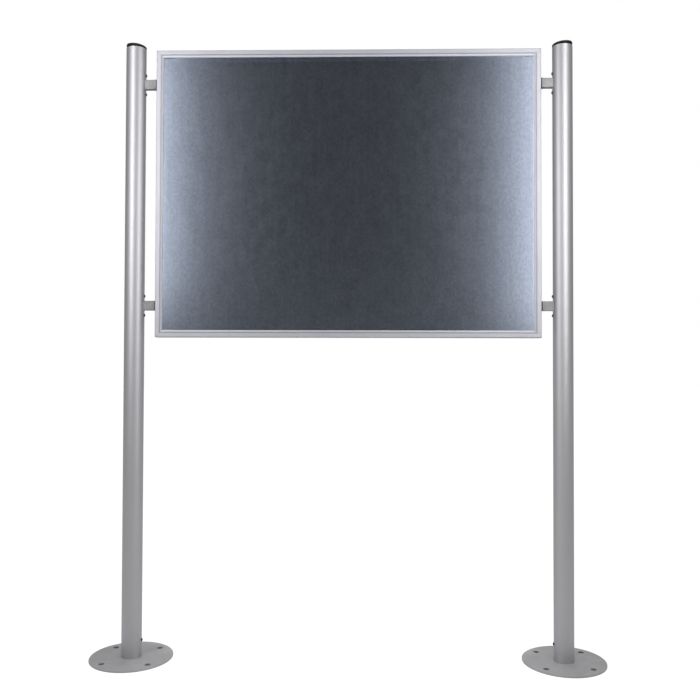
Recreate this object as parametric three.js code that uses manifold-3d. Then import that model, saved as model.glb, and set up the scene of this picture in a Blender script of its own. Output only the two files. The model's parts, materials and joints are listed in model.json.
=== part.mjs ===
// A lockable outdoor notice board: a glazed aluminium showcase hung between two round steel posts.
// Millimetres, +Z up. The origin lies on the ground midway between the posts, and the front faces -Y.
import * as THREE from "three";
import { mergeVertices } from "three/addons/utils/BufferGeometryUtils.js";
import Module from "manifold-3d";

const wasm = await Module();
wasm.setup();

// Clearances
const fit = 0.3; // between pieces that sit on each other
const mitreCut = 0.15; // taken off each mitred end
const overcut = 1; // how far a drill or a joined piece runs past the face it meets

// Board
const boardWidth = 1200;
const boardHeight = 900;
const boardBottom = 1000; // height of the lower edge above the ground
const boardRear = 10; // the rear face lies this far behind the posts' centres

// Frame sections, measured inwards from the board's edge and back from its front
const wall = 1.8;
const edgeRound = 3;
const outerLand = 13.5;
const grooveWidth = 3.5;
const grooveDepth = 2;
const innerLand = 5.5;
const landStep = 0.4; // the inner land starts this far behind the outer one
const landSlope = 1; // and slopes back by this much to its edge
const landThickness = 3.8; // from the front face to the glass
const glassOverlap = 7.5; // the land covers the glass rebate by this much
const doorDepth = 11.5;
const partingGap = 1;
const caseDepth = 26.5;
const lipSetback = 2; // from the case's front edge back to its lip
const lipThickness = 1.6;
const lipWidth = 11.3;
const ribDepth = 2.6; // behind the lip, in front of the back panel
const ribWidth = 7;
const chamberWidth = 16;

// Glass, back panel and corner keys
const paneThickness = 3;
const paneInset = 1; // from the rebate's wall to the edge of the glass
const beadWidth = 6.5;
const beadBevel = 3.8;
const beadEdge = 1.1; // thickness left at the bevel's foot
const beadInset = 0.5; // the bead lies this far in front of the door's rear face
const panelThickness = 1;
const panelInset = 1.2; // from the case's outer wall to the panel's edge
const keyLeg = 45;
const keyChamfer = 3;
const keyLooseness = 0.4; // further room between a chamber and the wall that hides the hinge

// Piano hinge along the left edge
const barrelDiameter = 8;
const hingePinDiameter = 4;
const leafThickness = 1.2;
const leafWidth = 8.2; // from the pin's axis
const knucklePitch = 52;
const hingeMargin = 1.5; // from the board's top and bottom edges
const pinHeadDiameter = 6.4;
const pinHeadThickness = 0.8;
const hingeGuard = 2.4; // wall of the door frame that hides the hinge from inside
const hingeLip = 19; // width of the case lip behind the hinge
const hingeChamfer = 1.5;
const guardSetback = 0.4; // the guard ends this far in front of the door's rear face

// Door seal
const sealInset = 4;
const sealWidth = 6;
const sideSealWidth = 3;

// Cam lock in the lower edge, near the free side of the door
const lockBeyondKey = 15; // from the end of the corner key to the lock's centre
const housingDiameter = 16;
const housingChamfer = 0.6;
const lockRecess = 0.2; // from the board's lower edge up to the lock's face
const plugDiameter = 10;
const keySlot = { width: 1.4, length: 7, depth: 6 };
const camLift = 0.5; // from the case's chamber up to the cam
const camThickness = 2;
const camHubDiameter = 12;
const hookInner = 11.6;
const hookOuter = 14.2;
const hookHalfAngle = 24; // degrees to each side
const hookStemAngle = 12;
const camSquare = 5.6;
const camScrew = { head: 7, height: 1.6, shank: 3.2, length: 9, hex: 2.5, hexDepth: 1 };
const strikePinDiameter = 2.4;
const hookClearance = 0.8; // between the hook and the strike's pin
const strikeFoot = { width: 32, thickness: 1.3, height: 4.2 };
const strikeTongue = { width: 8, thickness: 1.3, beyondPin: 0.8 };
const strikePinBehind = 1.5; // from the pin's axis back to the panel's front
const strikePinAbove = 0.7; // above the cam
const lockCover = { wall: 1.2, height: 8, clearance: 4, rearSetback: 0.5 };
const notchMargin = 1.8; // round the cam where it passes the back panel

// Posts and base plates
const postDiameter = 62;
const postWall = 2.5;
const postAboveBoard = 15; // from the board's top edge up to the top of the tube
const postChamfer = 1;
const boardGap = 41; // from the board's side to the post
const baseDiameter = 255;
const baseThickness = 5;
const baseChamfer = 0.8;
const anchor = { fromEdge: 27.5, count: 4, hole: 12, countersink: 18, cone: 3 };
const spigotWall = 3;
const spigotHeight = 90;
const baseScrewHeight = 55;

// Post caps
const capRim = 3;
const capDome = 6;
const capPlug = { clearance: 2, wall: 2.5, depth: 14, hollow: 1 };
const capTilt = 5; // degrees, the outer side stands up
const capGap = 0.3;

// Brackets
const bracketInset = 100; // from the board's top and bottom edges
const armHeight = 30;
const armDepth = 16;
const armRound = 1.5;
const flangeThickness = 6;
const neck = { width: 0.8, depth: 0.6 };
const padThickness = 3;
const nutPlate = { thickness: 3, beyondScrew: 12, halfAngle: 35 };
const bracketStud = { diameter: 8, length: 14 };
const caseStud = { diameter: 6, length: 9 };
const screwSpread = 30; // from the bracket's centre to each screw
const screw = { head: 9.5, height: 2.75, shank: 5, length: 8.5, hex: 3, hexDepth: 1.5, edge: 0.6 };

// Depths of the sections, from front to back
const caseFront = boardRear - caseDepth;
const doorRear = caseFront - partingGap;
const doorFront = doorRear - doorDepth;
const glassSeat = doorFront + landThickness;
const paneFront = glassSeat + fit;
const paneRear = paneFront + paneThickness;
const lipFront = caseFront + lipSetback;
const lipRear = lipFront + lipThickness;
const ribRear = lipRear + ribDepth;
const panelFront = ribRear + fit;
const panelRear = panelFront + panelThickness;
const chamberFront = panelRear + fit;

// Widths of the sections, from the board's edge inwards
const grooveEnd = outerLand + grooveWidth;
const frameFace = grooveEnd + innerLand;
const rebate = frameFace - glassOverlap;
const doorChamberEnd = rebate - hingeGuard - keyLooseness;
const panelEdge = wall + panelInset;

// The hinge's axis and the faces that its leaves lie on
const barrelRadius = barrelDiameter / 2;
const hingeY = (doorRear + caseFront) / 2;
const doorHingeSeat = hingeY - barrelRadius - fit;
const caseHingeSeat = hingeY + barrelRadius + fit;
const guardRear = doorRear - guardSetback;

// Materials
function finish(color, roughness, metalness, opacity = 1) {
  return new THREE.MeshStandardMaterial({ color, roughness, metalness, opacity, transparent: opacity < 1 });
}
const anodised = finish(0xd9dbe0, 0.35, 0.9);
const postSteel = finish(0xc4c6cc, 0.28, 1);
const plateSteel = finish(0x9a9ca0, 0.5, 0.8);
const bracketMetal = finish(0xa9a9ad, 0.45, 0.8);
const zinc = finish(0x6d7a88, 0.42, 0.85);
const glass = finish(0xdfe8ee, 0.05, 0, 0.25);
const blackPlastic = finish(0x0c0c0d, 0.55, 0);
const rubber = finish(0x151516, 0.85, 0);
const castZinc = finish(0x8e9196, 0.6, 0.7);
const stainless = finish(0xb9bcc2, 0.3, 1);
const nickel = finish(0xc9c6bd, 0.22, 1);

// Solids

function solidOf(geometry) {
  const bare = geometry.index ? geometry.toNonIndexed() : geometry.clone();
  bare.deleteAttribute("normal");
  bare.deleteAttribute("uv");
  const merged = mergeVertices(bare, 1e-4);
  const vertProperties = merged.attributes.position.array;
  const triVerts = new Uint32Array(merged.index.array);
  return new wasm.Manifold(new wasm.Mesh({ numProp: 3, vertProperties, triVerts }));
}

function geometryOf(solid) {
  const { vertProperties, triVerts } = solid.getMesh();
  const geometry = new THREE.BufferGeometry();
  geometry.setAttribute("position", new THREE.BufferAttribute(vertProperties, 3));
  geometry.setIndex(new THREE.BufferAttribute(triVerts, 1));
  geometry.computeVertexNormals();
  return geometry;
}

function addPiece(group, name, solid, material) {
  const mesh = new THREE.Mesh(geometryOf(solid), material);
  mesh.name = name;
  group.add(mesh);
  return mesh;
}

const joined = (solids) => solids.reduce((whole, solid) => whole.add(solid));

// A closed outline through corner points
const outline = (corners) => new THREE.Shape(corners.map(([x, y]) => new THREE.Vector2(x, y)));

// A block between two values along each axis
function box([x0, x1], [y0, y1], [z0, z1]) {
  const block = new THREE.BoxGeometry(x1 - x0, y1 - y0, z1 - z0);
  return solidOf(block.translate((x0 + x1) / 2, (y0 + y1) / 2, (z0 + z1) / 2));
}

// An outline in X and Y, raised from z0 to z1
function raised(shape, z0, z1, curveSegments = 8) {
  const geometry = new THREE.ExtrudeGeometry(shape, { depth: z1 - z0, bevelEnabled: false, curveSegments });
  return geometry.translate(0, 0, z0);
}

// A profile of radius and height, turned about the Z axis
function turned(profile, sides = 24) {
  const points = profile.map(([r, z]) => new THREE.Vector2(r, z));
  return new THREE.LatheGeometry(points, sides).rotateX(Math.PI / 2);
}

function rod(diameter, z0, z1, sides = 24) {
  const r = diameter / 2;
  return turned([[0, z0], [r, z0], [r, z1], [0, z1]], sides);
}

// The same rod laid along X at height z
function rodAlongX(diameter, x0, x1, z, sides) {
  return rod(diameter, x0, x1, sides).rotateY(Math.PI / 2).translate(0, 0, z);
}

const hexagon = (acrossFlats, z0, z1) => rod(acrossFlats / Math.cos(Math.PI / 6), z0, z1, 6);

// A part of a ring in X and Y, between two radii and two angles in degrees
function ringSector(inner, outer, fromDegrees, toDegrees) {
  const from = THREE.MathUtils.degToRad(fromDegrees);
  const to = THREE.MathUtils.degToRad(toDegrees);
  const shape = new THREE.Shape();
  shape.absarc(0, 0, outer, from, to, false);
  shape.absarc(0, 0, inner, to, from, true);
  shape.closePath();
  return shape;
}

// Frame members

// The board's four sides. Each turn about Y carries the bottom side to that side.
const sides = [
  { name: "bottom", turn: 0, length: boardWidth, reach: boardHeight / 2 },
  { name: "right", turn: -Math.PI / 2, length: boardHeight, reach: boardWidth / 2 },
  { name: "top", turn: Math.PI, length: boardWidth, reach: boardHeight / 2 },
  { name: "left", turn: Math.PI / 2, length: boardHeight, reach: boardWidth / 2 },
];

// A bar with mitred ends. The section's x runs inwards from the board's edge, its y is the depth.
function mitredBar(section, side) {
  const bar = raised(section, 0, side.length, 5);
  const position = bar.attributes.position;
  for (let i = 0; i < position.count; i += 1) {
    const inwards = position.getX(i) + mitreCut;
    const atStart = position.getZ(i) < side.length / 2;
    position.setZ(i, atStart ? inwards : side.length - inwards);
  }
  bar.translate(0, 0, -side.length / 2);
  bar.rotateY(-Math.PI / 2);
  bar.translate(0, 0, -side.reach);
  bar.rotateY(side.turn);
  return solidOf(bar);
}

// The hollow chamber inside a section
function rectangleHole([x0, x1], [y0, y1]) {
  const corners = [[x0, y0], [x0, y1], [x1, y1], [x1, y0]];
  return new THREE.Path(corners.map(([x, y]) => new THREE.Vector2(x, y)));
}

// The door's section: a rounded outer land, a shadow groove and a thin inner land over the glass
function doorSection(hinged) {
  const section = new THREE.Shape();
  const rear = hinged ? doorHingeSeat : doorRear;
  section.moveTo(0, hinged ? rear - hingeChamfer : rear);
  section.lineTo(0, doorFront + edgeRound);
  section.absarc(edgeRound, doorFront + edgeRound, edgeRound, Math.PI, Math.PI * 1.5, false);
  section.lineTo(outerLand, doorFront);
  section.lineTo(outerLand, doorFront + grooveDepth);
  section.lineTo(grooveEnd, doorFront + grooveDepth);
  section.lineTo(grooveEnd, doorFront + landStep);
  section.lineTo(frameFace, doorFront + landStep + landSlope);
  section.lineTo(frameFace, glassSeat);
  section.lineTo(rebate, glassSeat);
  if (hinged) {
    section.lineTo(rebate, guardRear);
    section.lineTo(rebate - hingeGuard, guardRear);
    section.lineTo(rebate - hingeGuard, rear);
    section.lineTo(hingeChamfer, rear);
  } else {
    section.lineTo(rebate, rear);
  }
  section.closePath();
  section.holes.push(rectangleHole([wall, doorChamberEnd], [doorFront + wall, rear - wall]));
  return section;
}

// The case's section: a front lip, a slot for the back panel and a hollow chamber behind it
function caseSection(hinged) {
  const openFront = [
    [0, caseFront],
    [wall, caseFront],
    [wall, lipFront],
    [lipWidth, lipFront],
    [lipWidth, lipRear],
    [ribWidth, lipRear],
    [ribWidth, ribRear],
  ];
  const hingeFront = [
    [0, caseHingeSeat + hingeChamfer],
    [hingeChamfer, caseHingeSeat],
    [hingeLip, caseHingeSeat],
    [hingeLip, ribRear],
  ];
  const rear = [
    [wall, ribRear],
    [wall, chamberFront],
    [chamberWidth, chamberFront],
    [chamberWidth, boardRear],
  ];
  const section = outline([[0, boardRear], ...(hinged ? hingeFront : openFront), ...rear]);
  section.holes.push(rectangleHole([wall, chamberWidth - wall], [chamberFront + wall, boardRear - wall]));
  return section;
}

// The strip that holds the glass from behind, bevelled on its inner edge
function beadSection() {
  const front = paneRear + fit;
  const rear = doorRear - beadInset;
  const start = rebate + fit;
  const end = start + beadWidth;
  const edge = front + beadEdge;
  return outline([[start, rear], [start, front], [end, front], [end, edge], [end - beadBevel, rear]]);
}

// The space that the closed hinge and the turning edge of the door need, cut from the top and bottom bars
function hingeChannel() {
  const guard = rebate - hingeGuard;
  const channel = outline([
    [-overcut, doorHingeSeat - hingeChamfer - overcut],
    [hingeChamfer, doorHingeSeat],
    [guard, doorHingeSeat],
    [guard, caseHingeSeat],
    [hingeChamfer, caseHingeSeat],
    [-overcut, caseHingeSeat + hingeChamfer + overcut],
  ]);
  const reach = boardHeight / 2 + overcut;
  return solidOf(raised(channel, -reach, reach).translate(-boardWidth / 2, 0, 0));
}

// The board's corners, each with the signs of its X and Z
const corners = [
  ["lower_left", -1, -1],
  ["lower_right", 1, -1],
  ["upper_left", -1, 1],
  ["upper_right", 1, 1],
];

// An L whose legs fill the hollow chambers of two bars. Widths and depths are those of the chambers.
function cornerKey([chamberStart, chamberEnd], [front, rear], signX, signZ) {
  const inner = chamberStart + fit;
  const outer = chamberEnd - fit;
  const shape = outline([
    [inner, inner],
    [keyLeg - keyChamfer, inner],
    [keyLeg, inner + keyChamfer],
    [keyLeg, outer],
    [outer, outer],
    [outer, keyLeg],
    [inner + keyChamfer, keyLeg],
    [inner, keyLeg - keyChamfer],
  ]);
  // Drawn in X and Z at the lower left corner, then mirrored to the others
  const key = solidOf(raised(shape, fit - rear, -front - fit).rotateX(Math.PI / 2));
  return key.translate([-boardWidth / 2, 0, -boardHeight / 2]).scale([-signX, 1, -signZ]);
}

// The board: every piece of it is drawn about the board's centre
const noticeBoard = new THREE.Group();
noticeBoard.name = "notice_board";
const board = new THREE.Group();
board.position.z = boardBottom + boardHeight / 2;
noticeBoard.add(board);

// Places of the lock and of its strike
const lockX = boardWidth / 2 - keyLeg - lockBeyondKey;
const hookReach = hookInner - hookClearance - strikePinDiameter / 2;
const strikeY = panelFront - strikePinBehind;
const lockY = strikeY + hookReach;
const lowerEdge = -boardHeight / 2;
const camBottom = lowerEdge + chamberWidth + camLift;
const camTop = camBottom + camThickness;

function addCase() {
  const channel = hingeChannel();
  const bore = rod(housingDiameter + 2 * fit, lowerEdge - overcut, camBottom);
  const lockBore = solidOf(bore.translate(lockX, lockY, 0));
  for (const side of sides) {
    let bar = mitredBar(caseSection(side.name === "left"), side);
    if (side.name === "top" || side.name === "bottom") bar = bar.subtract(channel);
    if (side.name === "bottom") bar = bar.subtract(lockBore);
    if (side.name === "left" || side.name === "right") bar = bar.subtract(studHoles(side.name));
    addPiece(board, `case_${side.name}`, bar, anodised);
  }
  for (const [name, signX, signZ] of corners) {
    const widths = [wall, chamberWidth - wall];
    const depths = [chamberFront + wall, boardRear - wall];
    addPiece(board, `case_key_${name}`, cornerKey(widths, depths, signX, signZ), castZinc);
  }
}

const caseStudHole = caseStud.diameter + 2 * fit;

// Heights of the brackets above the board's centre
const bracketHeights = { upper: boardHeight / 2 - bracketInset, lower: bracketInset - boardHeight / 2 };

// Holes in the case's side for the brackets' studs
function studHoles(sideName) {
  const edge = (boardWidth / 2) * (sideName === "left" ? -1 : 1);
  const drills = Object.values(bracketHeights).map((z) =>
    solidOf(rodAlongX(caseStudHole, edge - wall - overcut, edge + wall + overcut, z, 12)),
  );
  return joined(drills);
}

function addPanel() {
  const halfWidth = boardWidth / 2 - panelEdge;
  const halfHeight = boardHeight / 2 - panelEdge;
  const notchHalf = hookOuter + notchMargin;
  const sheet = box([-halfWidth, halfWidth], [panelFront, panelRear], [-halfHeight, halfHeight]);
  const notch = box(
    [lockX - notchHalf, lockX + notchHalf],
    [panelFront - overcut, panelRear + overcut],
    [lowerEdge, camTop + notchMargin],
  );
  addPiece(board, "back_panel", sheet.subtract(notch), zinc);
}

function addDoor() {
  const channel = hingeChannel();
  for (const side of sides) {
    let bar = mitredBar(doorSection(side.name === "left"), side);
    if (side.name === "top" || side.name === "bottom") bar = bar.subtract(channel);
    addPiece(board, `door_${side.name}`, bar, anodised);
    addPiece(board, `glazing_bead_${side.name}`, mitredBar(beadSection(), side), anodised);
  }
  for (const [name, signX, signZ] of corners) {
    const widths = [wall, doorChamberEnd];
    const depths = [doorFront + wall, (signX < 0 ? doorHingeSeat : doorRear) - wall];
    addPiece(board, `door_key_${name}`, cornerKey(widths, depths, signX, signZ), castZinc);
  }
  const halfWidth = boardWidth / 2 - rebate - paneInset;
  const halfHeight = boardHeight / 2 - rebate - paneInset;
  const pane = box([-halfWidth, halfWidth], [paneFront, paneRear], [-halfHeight, halfHeight]);
  addPiece(board, "door_pane", pane, glass);
}

// A rubber strip all round, stuck to the case. It is thicker along the hinge, where the case stands back.
function addSeal() {
  const thin = [doorRear + fit, lipFront - fit];
  const thick = [guardRear + fit, caseHingeSeat - fit];
  const right = boardWidth / 2 - sealInset;
  const top = boardHeight / 2 - sealInset;
  const left = rebate + fit - boardWidth / 2;
  const inner = boardHeight / 2 - rebate - fit;
  const strips = [
    box([left, right], thin, [-top, sealWidth - top]),
    box([left, right], thin, [top - sealWidth, top]),
    box([right - sealWidth, right], thin, [-top, top]),
    box([left, left + sideSealWidth], thin, [-top, top]),
    box([left, left + sideSealWidth], thick, [-inner, inner]),
  ];
  addPiece(board, "door_seal", joined(strips), rubber);
}

// One leaf of the hinge with its knuckles, drawn about the pin. The side is -1 on the door, 1 on the case.
function hingeLeaf(side) {
  const halfLength = boardHeight / 2 - hingeMargin;
  const count = 2 * Math.floor(halfLength / knucklePitch) + 1;
  const pitch = (2 * halfLength) / count;
  const depth = [side * barrelRadius, side * (barrelRadius - leafThickness)].sort((a, b) => a - b);
  const solids = [box([barrelRadius + fit, leafWidth], depth, [-halfLength, halfLength])];
  for (let i = side > 0 ? 0 : 1; i < count; i += 2) {
    const low = -halfLength + i * pitch + (i > 0 ? fit / 2 : 0);
    const high = -halfLength + (i + 1) * pitch - (i < count - 1 ? fit / 2 : 0);
    solids.push(solidOf(rod(barrelDiameter, low, high, 12)));
    solids.push(box([0, barrelRadius + overcut], depth, [low, high]));
  }
  const reach = halfLength + overcut;
  const bore = solidOf(rod(hingePinDiameter + 2 * fit, -reach, reach, 12));
  return joined(solids).subtract(bore);
}

function addHinge() {
  const hinge = new THREE.Group();
  hinge.position.set(barrelRadius - boardWidth / 2, hingeY, 0);
  board.add(hinge);
  addPiece(hinge, "hinge_leaf_door", hingeLeaf(-1), stainless);
  addPiece(hinge, "hinge_leaf_case", hingeLeaf(1), stainless);
  const end = boardHeight / 2 - hingeMargin + fit;
  const tip = end + pinHeadThickness;
  const head = pinHeadDiameter / 2;
  const shaft = hingePinDiameter / 2;
  const lowerHead = [[0, -tip], [head, -tip], [head, -end], [shaft, -end]];
  const upperHead = [[shaft, end], [head, end], [head, tip], [0, tip]];
  addPiece(hinge, "hinge_pin", solidOf(turned([...lowerHead, ...upperHead], 12)), stainless);
}

// The lock's pieces are drawn about its axis, at the board's height
const lock = new THREE.Group();
lock.position.set(lockX, lockY, 0);
board.add(lock);
const lockFace = lowerEdge + lockRecess;
const lockBack = lowerEdge + chamberWidth + lockRecess;
const camScrewTop = camTop + fit + camScrew.height;

function addCylinder() {
  const radius = housingDiameter / 2;
  const bore = plugDiameter / 2 + fit;
  const housing = turned([
    [bore, lockFace],
    [radius - housingChamfer, lockFace],
    [radius, lockFace + housingChamfer],
    [radius, lockBack],
    [bore, lockBack],
    [bore, lockFace],
  ]);
  addPiece(lock, "lock_housing", solidOf(housing), nickel);

  const half = camSquare / 2 - fit;
  const square = box([-half, half], [-half, half], [lockBack - overcut, camTop - camLift]);
  const threadEnd = camScrewTop - camScrew.length - overcut;
  const thread = solidOf(rod(camScrew.shank + 2 * fit, threadEnd, camTop + overcut, 12));
  const slot = box(
    [-keySlot.width / 2, keySlot.width / 2],
    [-keySlot.length / 2, keySlot.length / 2],
    [lockFace - overcut, lockFace + keySlot.depth],
  );
  const plug = solidOf(rod(plugDiameter, lockFace, lockBack)).add(square).subtract(thread).subtract(slot);
  addPiece(lock, "lock_plug", plug, nickel);
}

// The cam is a hook: a stem from its hub carries an arc that swings round the strike's pin
function addCam() {
  const hubRadius = camHubDiameter / 2;
  const stem = ringSector(hubRadius - overcut, hookOuter, hookHalfAngle - hookStemAngle, hookHalfAngle);
  const hook = ringSector(hookInner, hookOuter, -hookHalfAngle, hookHalfAngle);
  const cam = solidOf(rod(camHubDiameter, camBottom, camTop))
    .add(solidOf(raised(stem, camBottom, camTop, 4)))
    .add(solidOf(raised(hook, camBottom, camTop, 10)));
  const half = camSquare / 2;
  const eye = box([-half, half], [-half, half], [camBottom - overcut, camTop + overcut]);
  addPiece(lock, "lock_cam", cam.subtract(eye), stainless);

  const shank = rod(camScrew.shank, camScrewTop - camScrew.length, camScrewTop - camScrew.height / 2, 12);
  const fixing = solidOf(shank)
    .add(solidOf(rod(camScrew.head, camTop + fit, camScrewTop, 16)))
    .subtract(solidOf(hexagon(camScrew.hex, camScrewTop - camScrew.hexDepth, camScrewTop + overcut)));
  addPiece(lock, "cam_screw", fixing, stainless);
}

// The strike hangs on the door's rear face. Its upright pin is what the hook closes in front of.
function addStrike() {
  const top = lowerEdge + rebate;
  const pinY = strikeY - lockY;
  const footFront = doorRear + fit - lockY;
  const footHalf = strikeFoot.width / 2;
  const tongueHalf = strikeTongue.width / 2;
  const tongueBottom = top - strikeTongue.thickness;
  const footDepth = [footFront, footFront + strikeFoot.thickness];
  const tongueDepth = [footFront, pinY + strikeTongue.beyondPin];
  const foot = box([-footHalf, footHalf], footDepth, [top - strikeFoot.height, top]);
  const tongue = box([-tongueHalf, tongueHalf], tongueDepth, [tongueBottom, top]);
  const pin = rod(strikePinDiameter, tongueBottom, camTop + strikePinAbove, 16).translate(0, pinY, 0);
  addPiece(lock, "strike_plate", joined([foot, tongue, solidOf(pin)]), stainless);
}

// A pressed cover over the back of the cam, open towards the front and the lower edge
function addLockCover() {
  const half = hookOuter + lockCover.clearance;
  const foot = lowerEdge + chamberWidth + fit;
  const top = foot + lockCover.height;
  const front = chamberFront - lockY;
  const rear = boardRear - lockCover.rearSetback - lockY;
  const side = half + lockCover.wall;
  const shell = box([-side, side], [front, rear], [foot, top]);
  const roomDepth = [front - overcut, rear - lockCover.wall];
  const room = box([-half, half], roomDepth, [foot - overcut, top - lockCover.wall]);
  addPiece(lock, "lock_cover", shell.subtract(room), anodised);
}

// Posts and brackets: each side is drawn about its post's foot, with the board towards +X

const postRadius = postDiameter / 2;
const postBore = postRadius - postWall;
const boardSide = postRadius + boardGap;
const postTop = boardBottom + boardHeight + postAboveBoard;
const screwHole = screw.shank + 2 * fit;
const studHole = bracketStud.diameter + 2 * fit;

function buttonScrew(length) {
  const { head, height, shank, hex, hexDepth, edge } = screw;
  const profile = new THREE.Path();
  profile.moveTo(0, -length);
  profile.lineTo(shank / 2, -length);
  profile.lineTo(shank / 2, 0);
  profile.lineTo(head / 2, 0);
  profile.lineTo(head / 2, edge);
  profile.quadraticCurveTo(head / 2.2, height, head / 4, height);
  profile.lineTo(0, height);
  const body = turned(profile.getPoints(3).map((p) => [p.x, p.y]), 12);
  return solidOf(body).subtract(solidOf(hexagon(hex, height - hexDepth, height + overcut)));
}

// A screw through the post's wall, its head towards the board
function addWallScrew(stand, name, z) {
  const piece = addPiece(stand, name, buttonScrew(screw.length), stainless);
  piece.rotation.y = Math.PI / 2;
  piece.position.set(postRadius + fit, 0, z);
}

function addBase(stand, side) {
  const spigot = postBore - fit;
  const top = baseThickness + spigotHeight;
  const radius = baseDiameter / 2;
  let plate = solidOf(
    turned([
      [0, 0],
      [radius, 0],
      [radius, baseThickness - baseChamfer],
      [radius - baseChamfer, baseThickness],
      [spigot, baseThickness],
      [spigot, top],
      [spigot - spigotWall, top],
      [spigot - spigotWall, baseThickness],
      [0, baseThickness],
    ], 48),
  );
  const drill = turned([
    [0, -overcut],
    [anchor.hole / 2, -overcut],
    [anchor.hole / 2, baseThickness - anchor.cone],
    [anchor.countersink / 2, baseThickness],
    [anchor.countersink / 2, baseThickness + overcut],
    [0, baseThickness + overcut],
  ], 16);
  for (let i = 0; i < anchor.count; i += 1) {
    const angle = (2 * Math.PI * (i + 0.5)) / anchor.count;
    const x = (radius - anchor.fromEdge) * Math.cos(angle);
    const y = (radius - anchor.fromEdge) * Math.sin(angle);
    plate = plate.subtract(solidOf(drill.clone().translate(x, y, 0)));
  }
  const thread = solidOf(rodAlongX(screwHole, 0, postRadius, baseScrewHeight, 12));
  addPiece(stand, `${side}_base_plate`, plate.subtract(thread), plateSteel);
  addWallScrew(stand, `${side}_base_screw`, baseScrewHeight);
}

function addPost(stand, side, levels) {
  const foot = baseThickness + fit;
  const tube = turned([
    [postBore, foot],
    [postRadius, foot],
    [postRadius, postTop - postChamfer],
    [postRadius - postChamfer, postTop],
    [postBore, postTop],
    [postBore, foot],
  ], 40);
  const drill = (diameter, z) => rodAlongX(diameter, 0, postRadius + overcut, z, 12);
  const drills = [drill(screwHole, baseScrewHeight)];
  for (const z of levels) {
    drills.push(drill(studHole, z), drill(screwHole, z - screwSpread), drill(screwHole, z + screwSpread));
  }
  addPiece(stand, `${side}_post`, solidOf(tube).subtract(joined(drills.map(solidOf))), postSteel);
}

// A pressed-in plug with a flat rim and a low dome. It is drawn about the rim's edge next to the board.
function addCap(stand, side) {
  const plug = postBore - capPlug.clearance;
  const sphere = (postRadius ** 2 + capDome ** 2) / (2 * capDome);
  const spread = Math.asin(postRadius / sphere);
  const profile = new THREE.Path();
  profile.moveTo(0, capPlug.hollow);
  profile.lineTo(plug - capPlug.wall, capPlug.hollow);
  profile.lineTo(plug - capPlug.wall, -capPlug.depth);
  profile.lineTo(plug, -capPlug.depth);
  profile.lineTo(plug, 0);
  profile.lineTo(postRadius, 0);
  profile.absarc(0, capRim + capDome - sphere, sphere, Math.PI / 2 - spread, Math.PI / 2, false);
  // The dome's last point lies on the axis, free of rounding
  const points = profile.getPoints(2).map((p) => [p.x < fit / 10 ? 0 : p.x, p.y]);
  const dome = turned(points, 40).translate(-postRadius, 0, 0);
  const cap = addPiece(stand, `${side}_post_cap`, solidOf(dome), blackPlastic);
  cap.position.set(postRadius, 0, postTop + capGap);
  cap.rotation.y = THREE.MathUtils.degToRad(capTilt);
}

// A rounded rectangle in Y and Z, drawn out along X
function armBlock(x0, x1, inset = 0) {
  const w = armDepth / 2 - inset;
  const h = armHeight / 2 - inset;
  const shape = new THREE.Shape();
  shape.absarc(h - armRound, w - armRound, armRound, 0, Math.PI / 2, false);
  shape.absarc(armRound - h, w - armRound, armRound, Math.PI / 2, Math.PI, false);
  shape.absarc(armRound - h, armRound - w, armRound, Math.PI, Math.PI * 1.5, false);
  shape.absarc(h - armRound, armRound - w, armRound, Math.PI * 1.5, Math.PI * 2, false);
  shape.closePath();
  return solidOf(raised(shape, x0, x1, 2).rotateY(Math.PI / 2));
}

function addBracket(stand, name, z) {
  const bracket = new THREE.Group();
  bracket.position.z = z;
  stand.add(bracket);
  const padEnd = boardSide - fit;
  const padStart = padEnd - padThickness;
  const flangeEnd = padStart - fit;
  const flangeStart = flangeEnd - flangeThickness;
  const postSurface = solidOf(rod(postDiameter + 2 * fit, -armHeight, armHeight, 40));
  const bore = solidOf(rodAlongX(studHole, 0, postRadius + bracketStud.length + overcut, 0, 12));
  const studEnd = boardSide + caseStud.length;
  const stud = solidOf(rodAlongX(caseStud.diameter, flangeEnd - overcut, studEnd, 0, 12));
  const arm = armBlock(postRadius / 2, flangeStart - neck.width)
    .add(armBlock(flangeStart - neck.width - overcut, flangeStart + overcut, neck.depth))
    .add(armBlock(flangeStart, flangeEnd))
    .add(stud)
    .subtract(postSurface)
    .subtract(bore);
  addPiece(bracket, `${name}_arm`, arm, bracketMetal);

  const padHole = rodAlongX(caseStudHole, padStart - overcut, padEnd + overcut, 0, 12);
  addPiece(bracket, `${name}_arm_pad`, armBlock(padStart, padEnd).subtract(solidOf(padHole)), rubber);
  addNutPlate(bracket, name);
}

// A curved plate inside the post. Its welded stud passes out into the arm, and two screws hold it.
function addNutPlate(bracket, name) {
  const { thickness, beyondScrew, halfAngle } = nutPlate;
  const halfHeight = screwSpread + beyondScrew;
  const outer = postBore - fit;
  const section = ringSector(outer - thickness, outer, -halfAngle, halfAngle);
  const studEnd = postRadius + bracketStud.length;
  const stud = rodAlongX(bracketStud.diameter, outer - thickness / 2, studEnd, 0, 12);
  let plate = solidOf(raised(section, -halfHeight, halfHeight, 5)).add(solidOf(stud));
  for (const [place, z] of [["low", -screwSpread], ["high", screwSpread]]) {
    plate = plate.subtract(solidOf(rodAlongX(screwHole, 0, postRadius, z, 12)));
    addWallScrew(bracket, `${name}_screw_${place}`, z);
  }
  addPiece(bracket, `${name}_nut_plate`, plate, plateSteel);
}

function addStand(side, x, turn) {
  const stand = new THREE.Group();
  stand.position.x = x;
  stand.rotation.z = turn;
  noticeBoard.add(stand);
  const centre = boardBottom + boardHeight / 2;
  const levels = Object.entries(bracketHeights).map(([level, z]) => ({ level, z: centre + z }));
  addBase(stand, side);
  addPost(stand, side, levels.map(({ z }) => z));
  addCap(stand, side);
  for (const { level, z } of levels) addBracket(stand, `${side}_${level}`, z);
}

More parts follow.
